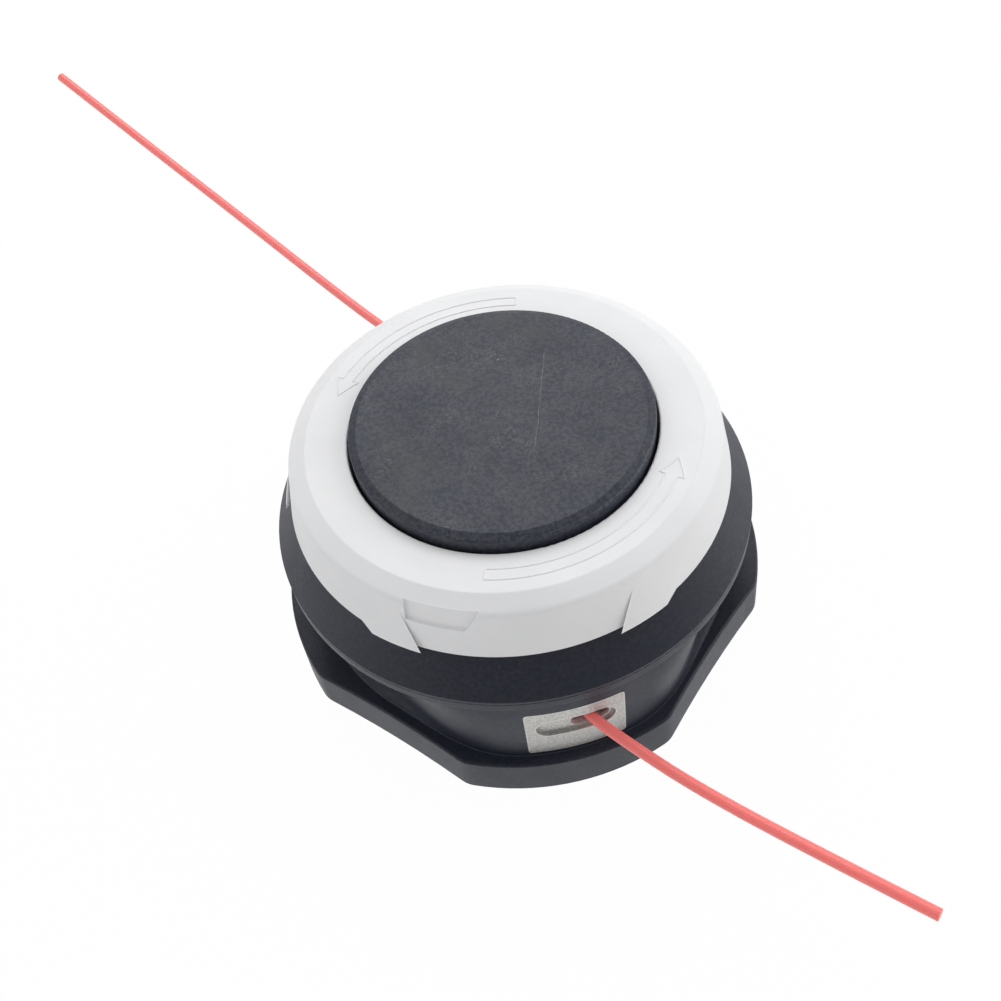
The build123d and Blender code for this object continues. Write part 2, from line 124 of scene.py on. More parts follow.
# Share of the feed spring's facets that is kept when its mesh is thinned
COIL_FACET_SHARE = 0.12

# Meshes and their shading
SMOOTH_ANGLE = math.radians(26.0)
MERGE_DISTANCE = 0.002 * MM
BEAD_SIDES = 8
SPIRAL_STEPS = 40
LINE_STEPS = 24
LINE_BEVEL_STEPS = 6
LINE_ORDER = 3

# Grain of the moulded faces, with the bands of noise in which its flecks and mottle show
COARSE_SCALE_SHARE = 0.37
COARSE_SHARE = 0.6
FINE_SHARE = 0.4
FLECK_BAND = (0.4, 0.6)
MOTTLE_BAND = (0.3, 0.7)

# Handling marks, with the bands of noise in which each one shows
RARE_SPECK_BAND = (0.965, 0.975)
SPECK_SPOT_BAND = (0.09, 0.04)
HAIR_SCALE = 900.0
HAIR_SLANT = 0.5
HAIR_STRETCH = 0.05
HAIR_BAND = (0.66, 0.72)
HAIR_PATCH_BAND = (0.5, 0.62)
TIP_SCALE = 1500.0
TIP_BAND = (0.5, 0.66)
RUB_PATCH_BAND = (0.46, 0.68)
# Edge mask: its samples and band of normal agreement; it sets where the plastics get a painted edge highlight
# and the metal paler edges
EDGE_SAMPLES = 6
EDGE_BAND = (0.995, 0.93)

# How much each mark shows on dark plastic, and how strongly its edges are paled as a painted highlight
RUB_SHARE = 0.45
HAIR_SHARE = 0.35
SPECK_SHARE = 4.0
EDGE_HIGHLIGHT_SHARE = 0.8
MOTTLE_DULLING = 0.06
RUB_POLISH = -0.05

# Colours
# Each dark plastic's pale colour below serves its handling marks and its painted edge highlight
HOUSING_COLOUR = (0.006, 0.0095, 0.024, 1.0)
HOUSING_PALE = (0.09, 0.095, 0.11, 1.0)
SPOOL_COLOUR = (0.02, 0.02, 0.021, 1.0)
SPOOL_PALE = (0.08, 0.08, 0.082, 1.0)
KNOB_COLOUR = (0.013, 0.018, 0.037, 1.0)
SCUFF_AND_HIGHLIGHT_PALE = (0.16, 0.16, 0.165, 1.0)
SOIL_BROWN = (0.046, 0.043, 0.042, 1.0)
CAP_COLOUR = (0.80, 0.805, 0.815, 1.0)
CAP_SOIL = (0.71, 0.715, 0.72, 1.0)
# Whiter edge colour of the cap, a painted highlight where its rounded edges catch the light
CAP_EDGE_HIGHLIGHT = (0.93, 0.93, 0.93, 1.0)
METAL_PIT = (0.44, 0.435, 0.42, 1.0)
METAL_FACE = (0.66, 0.655, 0.635, 1.0)
METAL_EDGE = (0.88, 0.87, 0.85, 1.0)
TURNED_COLOUR = (0.56, 0.55, 0.53, 1.0)
SPRING_COLOUR = (0.42, 0.42, 0.43, 1.0)
LINE_LIGHT = (1.0, 0.225, 0.21, 1.0)
LINE_DEEP = (0.985, 0.195, 0.18, 1.0)
WHITE = (1.0, 1.0, 1.0, 1.0)

# Floor and soft light of the studio
FLOOR_HALF = 4.0
FLOOR_DROP = 0.2 * MM
FLOOR_WHITE_SHARE = 0.975
FLOOR_COLOUR = (0.9, 0.9, 0.9, 1.0)
SOFT_STRENGTH = 0.62
CEILING_STRENGTH = 0.4
SWEEP_TOP = 0.3
FRONT_BAND = (-0.9, 0.1)
FRONT_SHARE = 0.12

# Lamps, each with its place in metres and its power in watts
LAMP_SIZE = 0.8
LAMPS = (
    ("key_back", (0.1, 0.75, 0.95), 5.2),
    ("side_right", (1.0, 0.05, 0.45), 3.9),
    ("side_left", (-1.0, 0.15, 0.5), 1.2),
)

# Kinds of socket, and the colour sockets of a Mix node
FLOAT = "NodeSocketFloat"
VECTOR = "NodeSocketVector"
INTEGER = "NodeSocketInt"
MATERIAL = "NodeSocketMaterial"
GEOMETRY = "NodeSocketGeometry"
MIX_FACTOR = 0
MIX_FIRST = 6
MIX_SECOND = 7
MIX_RESULT = 2


# Node trees

class Graph:
    """Short way to add nodes to a tree and join them."""

    def __init__(self, tree):
        self.tree = tree

    def add(self, kind, inputs=None, **settings):
        node = self.tree.nodes.new(kind)
        for name, value in settings.items():
            setattr(node, name, value)
        for key, value in (inputs or {}).items():
            self.set(node.inputs[key], value)
        return node

    def set(self, socket, value):
        if isinstance(value, bpy.types.NodeSocket):
            self.tree.links.new(value, socket)
        else:
            socket.default_value = value

    def math(self, operation, first, second=0.0, third=0.0):
        return self.add("ShaderNodeMath", {0: first, 1: second, 2: third}, operation=operation).outputs[0]

    def ramp(self, value, low, high, to_low=0.0, to_high=1.0):
        """Value between low and high, eased into the second range."""
        inputs = {"Value": value, "From Min": low, "From Max": high, "To Min": to_low, "To Max": to_high}
        return self.add("ShaderNodeMapRange", inputs, interpolation_type="SMOOTHSTEP").outputs["Result"]

    def mix(self, factor, first, second):
        """Colour between two others."""
        node = self.add("ShaderNodeMix", data_type="RGBA")
        self.set(node.inputs[MIX_FACTOR], factor)
        self.set(node.inputs[MIX_FIRST], first)
        self.set(node.inputs[MIX_SECOND], second)
        return node.outputs[MIX_RESULT]

    def noise(self, vector, scale, detail=3.0, roughness=0.55):
        inputs = {"Vector": vector, "Scale": scale, "Detail": detail, "Roughness": roughness}
        return self.add("ShaderNodeTexNoise", inputs).outputs["Fac"]


def shader_group(name, inputs, outputs):
    """Empty shader group; gives its graph, its inputs and the sockets that take its outputs."""
    return set_interface(bpy.data.node_groups.new(name, "ShaderNodeTree"), inputs, outputs)


def shape_tree(name, inputs):
    """Empty geometry tree that takes and gives a mesh, with named inputs for its sizes."""
    tree = bpy.data.node_groups.new(name, "GeometryNodeTree")
    return set_interface(tree, (("Geometry", GEOMETRY, None), *inputs), (("Geometry", GEOMETRY),))


def set_interface(tree, inputs, outputs):
    """Gives a tree its named inputs and outputs."""
    for label, kind, value in inputs:
        socket = tree.interface.new_socket(label, in_out="INPUT", socket_type=kind)
        if value is not None:
            socket.default_value = value
    for label, kind in outputs:
        tree.interface.new_socket(label, in_out="OUTPUT", socket_type=kind)
    graph = Graph(tree)
    return graph, graph.add("NodeGroupInput").outputs, graph.add("NodeGroupOutput").inputs


def make_grain_group():
    """Spark-eroded grain of a moulded face: its height, its dark and light flecks and a faint mottle."""
    graph, given, result = shader_group(
        "moulded grain",
        (("Vector", VECTOR, None), ("Grain Scale", FLOAT, 2600.0), ("Mottle Scale", FLOAT, 90.0)),
        (("Height", FLOAT), ("Flecks", FLOAT), ("Mottle", FLOAT)),
    )
    fine = graph.noise(given["Vector"], given["Grain Scale"], 2.0, 0.6)
    coarse_scale = graph.math("MULTIPLY", given["Grain Scale"], COARSE_SCALE_SHARE)
    coarse = graph.noise(given["Vector"], coarse_scale, 2.0, 0.5)
    height = graph.math("MULTIPLY_ADD", coarse, COARSE_SHARE, graph.math("MULTIPLY", fine, FINE_SHARE))
    mottle = graph.noise(given["Vector"], given["Mottle Scale"], 4.0, 0.6)
    graph.set(result["Height"], height)
    graph.set(result["Flecks"], graph.ramp(height, *FLECK_BAND))
    graph.set(result["Mottle"], graph.ramp(mottle, *MOTTLE_BAND))
    return graph.tree


def make_wear_group():
    """Handling marks: pale specks, short scratches and patches rubbed on the tips of the grain."""
    graph, given, result = shader_group(
        "handling marks",
        (("Vector", VECTOR, None), ("Speck Scale", FLOAT, 260.0), ("Patch Scale", FLOAT, 70.0)),
        (("Specks", FLOAT), ("Scratches", FLOAT), ("Rubs", FLOAT)),
    )
    cells = graph.add(
        "ShaderNodeTexVoronoi",
        {"Vector": given["Vector"], "Scale": given["Speck Scale"], "Randomness": 1.0},
    )
    chosen = graph.add("ShaderNodeSeparateColor", {"Color": cells.outputs["Color"]}).outputs["Red"]
    rare = graph.ramp(chosen, *RARE_SPECK_BAND)
    spot = graph.ramp(cells.outputs["Distance"], *SPECK_SPOT_BAND)
    graph.set(result["Specks"], graph.math("MULTIPLY", rare, spot))
    slant = graph.add(
        "ShaderNodeMapping",
        {"Vector": given["Vector"], "Rotation": (0.0, 0.0, HAIR_SLANT), "Scale": (1.0, HAIR_STRETCH, 1.0)},
    )
    hairs = graph.ramp(graph.noise(slant.outputs["Vector"], HAIR_SCALE, 2.0, 0.4), *HAIR_BAND)
    patches = graph.noise(given["Vector"], given["Patch Scale"], 3.0, 0.6)
    tips = graph.ramp(graph.noise(given["Vector"], TIP_SCALE, 2.0, 0.6), *TIP_BAND)
    graph.set(result["Scratches"], graph.math("MULTIPLY", hairs, graph.ramp(patches, *HAIR_PATCH_BAND)))
    graph.set(result["Rubs"], graph.math("MULTIPLY", tips, graph.ramp(patches, *RUB_PATCH_BAND)))
    return graph.tree


def make_edge_group():
    """Mask of edges, where a rounded normal leaves the true one."""
    graph, given, result = shader_group(
        # Mask used for the painted edge highlight of the plastics and the paler edges of the metal
        "edge mask", (("Radius", FLOAT, 0.5 * MM),), (("Edges", FLOAT),)
    )
    bevel = graph.add("ShaderNodeBevel", {"Radius": given["Radius"]}, samples=EDGE_SAMPLES)
    plain = graph.add("ShaderNodeNewGeometry")
    normals = {0: bevel.outputs["Normal"], 1: plain.outputs["Normal"]}
    agree = graph.add("ShaderNodeVectorMath", normals, operation="DOT_PRODUCT")
    graph.set(result["Edges"], graph.ramp(agree.outputs["Value"], *EDGE_BAND))
    return graph.tree


GRAIN = make_grain_group()
WEAR = make_wear_group()
EDGES = make_edge_group()


def new_material(name, constants):
    """Material with a Principled shader whose steady values sit on its own sockets."""
    material = bpy.data.materials.new(name)
    material.use_nodes = True
    shader = material.node_tree.nodes["Principled BSDF"]
    for key, value in constants.items():
        shader.inputs[key].default_value = value
    graph = Graph(material.node_tree)
    place = graph.add("ShaderNodeTexCoord").outputs["Object"]
    return material, graph, shader, place


def use_group(graph, tree, inputs):
    """Outputs of a shared group that is placed in a material."""
    return graph.add("ShaderNodeGroup", inputs, node_tree=tree).outputs


def add_bump(graph, shader, height, distance):
    bump = graph.add("ShaderNodeBump", {"Height": height, "Distance": distance, "Strength": 1.0})
    graph.set(shader.inputs["Normal"], bump.outputs["Normal"])


def dark_plastic(name, colour, pale, roughness, grain_depth, fleck_share, mark_share):
    """Glass-filled nylon, grained in the mould, marked by handling and paled along its edges as a painted
    highlight.
    """
    material, graph, shader, place = new_material(name, {"IOR": 1.5})
    grain = use_group(graph, GRAIN, {"Vector": place})
    wear = use_group(graph, WEAR, {"Vector": place})
    edges = use_group(graph, EDGES, {})
    wear_and_highlight = graph.math("MULTIPLY", wear["Rubs"], RUB_SHARE * mark_share)
    wear_and_highlight = graph.math("MAXIMUM", wear_and_highlight, graph.math("MULTIPLY", wear["Scratches"], HAIR_SHARE * mark_share))
    wear_and_highlight = graph.math("MAXIMUM", wear_and_highlight, graph.math("MULTIPLY", wear["Specks"], SPECK_SHARE * mark_share))
    # Painted highlight: the edge mask pales the colour along edges, as where rounded edges catch the light
    wear_and_highlight = graph.math("MAXIMUM", wear_and_highlight, graph.math("MULTIPLY", edges["Edges"], EDGE_HIGHLIGHT_SHARE))
    wear_and_highlight = graph.math("MULTIPLY_ADD", grain["Flecks"], fleck_share, wear_and_highlight)
    graph.set(shader.inputs["Base Color"], graph.mix(wear_and_highlight, colour, pale))
    rough = graph.math("MULTIPLY_ADD", grain["Mottle"], MOTTLE_DULLING, roughness)
    graph.set(shader.inputs["Roughness"], graph.math("MULTIPLY_ADD", wear["Rubs"], RUB_POLISH, rough))
    add_bump(graph, shader, grain["Height"], grain_depth)
    return material, graph, shader, place


def add_tint(graph, shader, place, tint):
    """Faint warm soiling in broad patches."""
    soiled = graph.ramp(graph.noise(place, 55.0, 3.0, 0.55), 0.48, 0.7, 0.0, 0.4)
    under = shader.inputs["Base Color"].links[0].from_socket
    graph.set(shader.inputs["Base Color"], graph.mix(soiled, under, tint))


def add_scratch(graph, shader, place, pale):
    """One long hairline scratch across the knob's face."""
    run = Vector(SCRATCH_END) - Vector(SCRATCH_START)
    lean = math.atan2(run.y, run.x)
    start = Matrix.Rotation(-lean, 2) @ Vector(SCRATCH_START)
    along = graph.add(
        "ShaderNodeMapping",
        {"Vector": place, "Location": (-start.x, -start.y, 0.0), "Rotation": (0.0, 0.0, -lean)},
    )
    flat = graph.add("ShaderNodeSeparateXYZ", {0: along.outputs["Vector"]}).outputs
    wander = graph.math("MULTIPLY_ADD", graph.noise(place, 120.0), 2 * SCRATCH_WANDER, -SCRATCH_WANDER)
    away = graph.math("ABSOLUTE", graph.math("ADD", flat["Y"], wander))
    line = graph.ramp(away, SCRATCH_HALF_WIDTH, SCRATCH_CORE)
    begins = graph.ramp(flat["X"], 0.0, SCRATCH_FADE_IN)
    ends = graph.ramp(flat["X"], run.length, SCRATCH_FADE_OUT * run.length)
    inside = graph.math("MULTIPLY", begins, ends)
    broken = graph.ramp(graph.noise(place, 700.0), 0.35, 0.6, 0.25, 0.8)
    mark = graph.math("MULTIPLY", graph.math("MULTIPLY", line, inside), broken)
    under = shader.inputs["Base Color"].links[0].from_socket
    graph.set(shader.inputs["Base Color"], graph.mix(mark, under, pale))


def cap_plastic():
    """White moulded plastic with a fine grain, slightly grey soiling and a painted highlight along its edges.
    """
    material, graph, shader, place = new_material("cap_white", {"IOR": 1.47})
    grain = use_group(graph, GRAIN, {"Vector": place, "Grain Scale": 1900.0, "Mottle Scale": 60.0})
    wear = use_group(graph, WEAR, {"Vector": place, "Speck Scale": 210.0})
    edges = use_group(graph, EDGES, {"Radius": 0.35 * MM})
    soil = graph.math("MULTIPLY", grain["Mottle"], 0.22)
    soil = graph.math("MULTIPLY_ADD", wear["Specks"], 0.6, soil)
    colour = graph.mix(soil, CAP_COLOUR, CAP_SOIL)
    # Painted highlight: edges whitened, as where the rounded edges catch the light
    colour = graph.mix(graph.math("MULTIPLY", edges["Edges"], 0.8), colour, CAP_EDGE_HIGHLIGHT)
    graph.set(shader.inputs["Base Color"], colour)
    graph.set(shader.inputs["Roughness"], graph.math("MULTIPLY_ADD", grain["Mottle"], 0.08, 0.48))
    add_bump(graph, shader, grain["Height"], 0.035 * MM)
    return material


def cast_metal():
    """Blasted die-cast zinc, with fine pits and paler edges."""
    material, graph, shader, place = new_material("cast_metal", {"Metallic": 0.8})
    grain = use_group(graph, GRAIN, {"Vector": place, "Grain Scale": 3800.0, "Mottle Scale": 1500.0})
    edges = use_group(graph, EDGES, {"Radius": 0.6 * MM})
    colour = graph.mix(grain["Mottle"], METAL_PIT, METAL_FACE)
    colour = graph.mix(graph.math("MULTIPLY", edges["Edges"], 0.7), colour, METAL_EDGE)
    graph.set(shader.inputs["Base Color"], colour)
    graph.set(shader.inputs["Roughness"], graph.math("MULTIPLY_ADD", grain["Mottle"], 0.12, 0.46))
    add_bump(graph, shader, grain["Height"], 0.12 * MM)
    return material


def bright_steel(name, colour, roughness):
    """Bare steel with the fine streaks of turning or drawing."""
    material, graph, shader, place = new_material(name, {"Metallic": 1.0})
    turned = graph.add("ShaderNodeMapping", {"Vector": place, "Scale": (1.0, 1.0, 14.0)}).outputs["Vector"]
    streaks = graph.noise(turned, 420.0, 3.0, 0.6)
    dull = tuple(0.7 * part for part in colour[:3]) + (1.0,)
    graph.set(shader.inputs["Base Color"], graph.mix(streaks, colour, dull))
    graph.set(shader.inputs["Roughness"], graph.math("MULTIPLY_ADD", streaks, 0.2, roughness))
    add_bump(graph, shader, streaks, 0.02 * MM)
    return material


def line_nylon():
    """Drawn red monofilament that glows a little in the light."""
    constants = {
        "IOR": 1.53,
        "Subsurface Weight": 0.3,
        "Subsurface Radius": (1.0, 0.35, 0.3),
        "Subsurface Scale": 1.2 * MM,
    }
    material, graph, shader, place = new_material("red_monofilament", constants)
    drawn = graph.noise(place, 420.0, 2.0, 0.5)
    graph.set(shader.inputs["Base Color"], graph.mix(drawn, LINE_LIGHT, LINE_DEEP))
    graph.set(shader.inputs["Roughness"], graph.math("MULTIPLY_ADD", drawn, 0.15, 0.28))
    add_bump(graph, shader, drawn, 0.006 * MM)
    return material


HOUSING_DARK = dark_plastic(
    "housing_dark",
    HOUSING_COLOUR,
    HOUSING_PALE,
    roughness=0.46,
    grain_depth=0.05 * MM,
    fleck_share=0.09,
    mark_share=0.3,
)[0]
SPOOL_BLACK = dark_plastic(
    "spool_black",
    SPOOL_COLOUR,
    SPOOL_PALE,
    roughness=0.5,
    grain_depth=0.03 * MM,
    fleck_share=0.1,
    mark_share=0.1,
)[0]
KNOB_DARK, knob_graph, knob_shader, knob_place = dark_plastic(
    "knob_dark",
    KNOB_COLOUR,
    SCUFF_AND_HIGHLIGHT_PALE,
    roughness=0.5,
    grain_depth=0.07 * MM,
    fleck_share=0.2,
    mark_share=0.5,
)
add_tint(knob_graph, knob_shader, knob_place, SOIL_BROWN)
add_scratch(knob_graph, knob_shader, knob_place, SCUFF_AND_HIGHLIGHT_PALE)
CAP_WHITE = cap_plastic()
CAST_METAL = cast_metal()
TURNED_STEEL = bright_steel("turned_steel", TURNED_COLOUR, roughness=0.28)
SPRING_STEEL = bright_steel("spring_steel", SPRING_COLOUR, roughness=0.32)
RED_LINE = line_nylon()


# Pieces

def new_piece(name, mesh):
    piece = bpy.data.objects.new(name, mesh)
    bpy.context.scene.collection.objects.link(piece)
    return piece


def settle(piece, body, material):
    """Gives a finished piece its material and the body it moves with."""
    piece.data.materials.clear()
    piece.data.materials.append(material)
    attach(piece, body)


def shade_smooth(mesh):
    mesh.polygons.foreach_set("use_smooth", [True] * len(mesh.polygons))
    mesh.set_sharp_from_angle(angle=SMOOTH_ANGLE)


def joined_copy(node, name):
    """Copy of a node's mesh with its loose facets joined and its stored normals dropped."""
    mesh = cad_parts[node].data.copy()
    mesh.name = name
    mesh.attributes.remove(mesh.attributes["custom_normal"])
    edit = bmesh.new()
    edit.from_mesh(mesh)
    bmesh.ops.remove_doubles(edit, verts=edit.verts, dist=MERGE_DISTANCE)
    edit.to_mesh(mesh)
    edit.free()
    return mesh


def plain_mesh(holder):
    """Finished mesh of an object with its modifiers; the object itself goes."""
    depsgraph = bpy.context.evaluated_depsgraph_get()
    mesh = bpy.data.meshes.new_from_object(holder.evaluated_get(depsgraph))
    name = holder.name
    bpy.data.objects.remove(holder)
    mesh.name = name
    return mesh


def even_shading(name, mesh):
    """Mesh whose flat faces keep flat normals beside the rounded edges."""
    shade_smooth(mesh)
    holder = new_piece(name, mesh)
    even = holder.modifiers.new("even_shading", "WEIGHTED_NORMAL")
    even.keep_sharp = True
    even.mode = "FACE_AREA"
    return plain_mesh(holder)


def shell(node, name, body, material):
    """Smoothly shaded piece that stands for a node."""
    piece = new_piece(name, even_shading(name, joined_copy(node, name)))
    settle(piece, body, material)
    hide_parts(node)


def tree_mesh(name, tree, base, values):
    """Plain mesh that a geometry tree makes from a base mesh and named values."""
    holder = new_piece(name, base)
    modifier = holder.modifiers.new(name, "NODES")
    modifier.node_group = tree
    for item in tree.interface.items_tree:
        if item.in_out == "INPUT" and item.name in values:
            modifier[item.identifier] = values[item.name]
    return plain_mesh(holder)


def finish_tree(graph, result, geometry, material):
    """Ends a geometry tree: real mesh, smooth faces and the material."""
    real = graph.add("GeometryNodeRealizeInstances", {"Geometry": geometry}).outputs["Geometry"]
    smooth = graph.add("GeometryNodeSetShadeSmooth", {"Geometry": real}).outputs["Geometry"]
    dressed = graph.add("GeometryNodeSetMaterial", {"Geometry": smooth, "Material": material})
    graph.set(result["Geometry"], dressed.outputs["Geometry"])


def make_arrow_tree():
    """Ridge along a flat outline, wrapped round the axis and repeated at even turns."""
    graph, given, result = shape_tree(
        "turning arrows",
        (
            ("Radius", FLOAT, 0.0),
            ("Height", FLOAT, 0.0),
            ("Start", FLOAT, 0.0),
            ("Stroke", FLOAT, 0.0),
            ("Step", FLOAT, 0.0),
            ("Count", INTEGER, 1),
            ("Material", MATERIAL, None),
        ),
    )
    outline = graph.add("GeometryNodeMeshToCurve", {"Mesh": given["Geometry"]}).outputs["Curve"]
    steps = {"Curve": outline, "Length": given["Step"]}
    even = graph.add("GeometryNodeResampleCurve", steps, mode="LENGTH").outputs["Curve"]
    place = graph.add("GeometryNodeInputPosition").outputs[0]
    flat = graph.add("ShaderNodeSeparateXYZ", {0: place}).outputs
    angle = graph.math("ADD", given["Start"], graph.math("DIVIDE", flat["X"], given["Radius"]))
    reach = graph.math("ADD", given["Radius"], flat["Y"])
    across = graph.math("MULTIPLY", reach, graph.math("COSINE", angle))
    along = graph.math("MULTIPLY", reach, graph.math("SINE", angle))
    bent = graph.add("ShaderNodeCombineXYZ", {"X": across, "Y": along, "Z": given["Height"]}).outputs[0]
    wrapped = graph.add("GeometryNodeSetPosition", {"Geometry": even, "Position": bent}).outputs["Geometry"]
    half_stroke = graph.math("MULTIPLY", given["Stroke"], 0.5)
    bead = {"Resolution": BEAD_SIDES, "Radius": half_stroke}
    section = graph.add("GeometryNodeCurvePrimitiveCircle", bead).outputs["Curve"]
    ridge = graph.add(
        "GeometryNodeCurveToMesh", {"Curve": wrapped, "Profile Curve": section}
    ).outputs["Mesh"]
    spots = graph.add("GeometryNodePoints", {"Count": given["Count"]}).outputs[0]
    share = graph.math("DIVIDE", graph.add("GeometryNodeInputIndex").outputs[0], given["Count"])
    turn = graph.add("ShaderNodeCombineXYZ", {"Z": graph.math("MULTIPLY", share, 2 * math.pi)}).outputs[0]
    rotation = graph.add("FunctionNodeEulerToRotation", {0: turn}).outputs[0]
    copies = graph.add(
        "GeometryNodeInstanceOnPoints", {"Points": spots, "Instance": ridge, "Rotation": rotation}
    ).outputs["Instances"]
    finish_tree(graph, result, copies, given["Material"])
    return graph.tree


def make_thread_tree():
    """Left-hand screw ridge on the inside of a bore."""
    graph, given, result = shape_tree(
        "left-hand thread",
        (
            ("Radius", FLOAT, 0.0),
            ("Pitch", FLOAT, 0.0),
            ("Depth", FLOAT, 0.0),
            ("Turns", FLOAT, 1.0),
            ("Start", FLOAT, 0.0),
            ("Material", MATERIAL, None),
        ),
    )
    rise = graph.math("MULTIPLY", given["Pitch"], given["Turns"])
    spiral = graph.add(
        "GeometryNodeCurveSpiral",
        {
            "Resolution": SPIRAL_STEPS,
            "Rotations": given["Turns"],
            "Start Radius": given["Radius"],
            "End Radius": given["Radius"],
            "Height": rise,
            "Reverse": True,
        },
    ).outputs["Curve"]
    lift = graph.add("ShaderNodeCombineXYZ", {"Z": given["Start"]}).outputs[0]
    seated = graph.add("GeometryNodeTransform", {"Geometry": spiral, "Translation": lift}).outputs["Geometry"]
    half_depth = graph.math("MULTIPLY", given["Depth"], 0.5)
    crest = {"Resolution": BEAD_SIDES, "Radius": half_depth}
    section = graph.add("GeometryNodeCurvePrimitiveCircle", crest).outputs["Curve"]
    ridge = graph.add(
        "GeometryNodeCurveToMesh", {"Curve": seated, "Profile Curve": section, "Fill Caps": True}
    ).outputs["Mesh"]
    finish_tree(graph, result, ridge, given["Material"])
    return graph.tree


def arrow_outline():
    """Flat outline of one arrow, with its length along X."""
    neck = ARROW_LENGTH - ARROW_HEAD_LENGTH
    upper = [(0.0, ARROW_HALF_WIDTH), (neck, ARROW_HALF_WIDTH), (neck, ARROW_HEAD_HALF_WIDTH)]
    lower = [(x, -y) for x, y in reversed(upper)]
    corners = [*upper, (ARROW_LENGTH, 0.0), *lower]
    mesh = bpy.data.meshes.new("arrow_outline")
    edges = [(step, (step + 1) % len(corners)) for step in range(len(corners))]
    mesh.from_pydata([(x, y, 0.0) for x, y in corners], edges, [])
    return mesh


def turning_arrows():
    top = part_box("winding_cap")[1][2]
    values = {
        "Radius": ARROW_RADIUS,
        "Height": top + ARROW_RELIEF - ARROW_STROKE / 2,
        "Start": ARROW_START,
        "Stroke": ARROW_STROKE,
        "Step": ARROW_STEP,
        "Count": ARROW_COUNT,
        "Material": CAP_WHITE,
    }
    mesh = tree_mesh("turning_arrows", make_arrow_tree(), arrow_outline(), values)
    settle(new_piece("turning_arrows", mesh), "cap", CAP_WHITE)


def threaded_insert():
    """Hexagon insert with its bore opened to the thread's root, and the thread's ridge in it."""
    mesh = joined_copy("drive_insert", "threaded_insert")
    widen = THREAD_MAJOR_RADIUS / THREAD_MINOR_RADIUS
    for vertex in mesh.vertices:
        if vertex.co.xy.length < (THREAD_MINOR_RADIUS + THREAD_MAJOR_RADIUS) / 2:
            vertex.co.xy *= widen
    piece = new_piece("threaded_insert", even_shading("threaded_insert", mesh))
    settle(piece, "housing", TURNED_STEEL)
    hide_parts("drive_insert")
    low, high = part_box("drive_insert")
    depth = THREAD_MAJOR_RADIUS - THREAD_MINOR_RADIUS
    values = {
        "Radius": THREAD_MINOR_RADIUS + depth / 2,
        "Pitch": THREAD_PITCH,
        "Depth": depth,
        "Turns": (high[2] - low[2] - 2 * THREAD_MOUTH) / THREAD_PITCH,
        "Start": low[2] + THREAD_MOUTH,
        "Material": TURNED_STEEL,
    }
    base = bpy.data.meshes.new("thread_base")
    ridge = new_piece("thread_ridge", tree_mesh("thread_ridge", make_thread_tree(), base, values))
    settle(ridge, "housing", TURNED_STEEL)


def feed_coil():
    """Spring under the spool, as a smoothly shaded copy with fewer facets."""
    holder = new_piece("feed_coil", joined_copy("feed_spring", "feed_coil"))
    fewer = holder.modifiers.new("fewer_facets", "DECIMATE")
    fewer.ratio = COIL_FACET_SHARE
    piece = new_piece("feed_coil", even_shading("feed_coil", plain_mesh(holder)))
    settle(piece, "housing", SPRING_STEEL)
    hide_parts("feed_spring")
    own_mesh(piece)


def gate_mark():
    """Small ring that the mould's gate left in the middle of the knob."""
    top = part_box("bump_knob")[1][2]
    mesh = bpy.data.meshes.new("gate_mark")
    edit = bmesh.new()
    corners = [edit.verts.new((radius * MM, 0.0, top + height * MM)) for radius, height in GATE_PROFILE_MM]
    line = [edit.edges.new(pair) for pair in zip(corners, corners[1:])]
    bmesh.ops.spin(
        edit,
        geom=[*corners, *line],
        axis=(0, 0, 1),
        cent=(0, 0, 0),
        angle=2 * math.pi,
        steps=GATE_STEPS,
    )
    bmesh.ops.remove_doubles(edit, verts=edit.verts, dist=MERGE_DISTANCE)
    bmesh.ops.recalc_face_normals(edit, faces=edit.faces)
    edit.to_mesh(mesh)
    edit.free()
    shade_smooth(mesh)
    settle(new_piece("gate_mark", mesh), "spool", KNOB_DARK)


def line_curve(name, route_mm, node):
    """Free end of the cutting line, as a round curve along its route."""
    curve = bpy.data.curves.new(name, "CURVE")
    curve.dimensions = "3D"
    curve.resolution_u = LINE_STEPS
    curve.bevel_depth = LINE_DIAMETER / 2
    curve.bevel_resolution = LINE_BEVEL_STEPS
    curve.use_fill_caps = True
    spline = curve.splines.new("NURBS")
    spline.points.add(len(route_mm) - 1)
    for point, place in zip(spline.points, route_mm):
        point.co = tuple(value * MM for value in place) + (1.0,)
    spline.order_u = LINE_ORDER
    spline.use_endpoint_u = True
    piece = new_piece(name, curve)
    settle(piece, "housing", RED_LINE)
    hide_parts(node)


line_curve("cutting_line_front", FRONT_ROUTE_MM, "line_front")
line_curve("cutting_line_rear", REAR_ROUTE_MM, "line_rear")

shell("housing", "housing_shell", "housing", HOUSING_DARK)
shell("cover_ring", "cover_shell", "housing", HOUSING_DARK)
shell("winding_cap", "cap_shell", "cap", CAP_WHITE)
shell("bump_knob", "knob_shell", "spool", KNOB_DARK)
shell("eyelet_front", "outlet_front", "housing", CAST_METAL)
shell("eyelet_rear", "outlet_rear", "housing", CAST_METAL)

turning_arrows()
threaded_insert()
feed_coil()
gate_mark()

INNER_FINISH = {
    "thrust_washer": TURNED_STEEL,
    "spring_seat": TURNED_STEEL,
    "spool": SPOOL_BLACK,
    "ratchet_ring": SPOOL_BLACK,
    "line_winding_lower": RED_LINE,
    "line_winding_upper": RED_LINE,
}
for node, material in INNER_FINISH.items():
    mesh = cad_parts[node].data
    mesh.materials.clear()
    mesh.materials.append(material)


# Stage

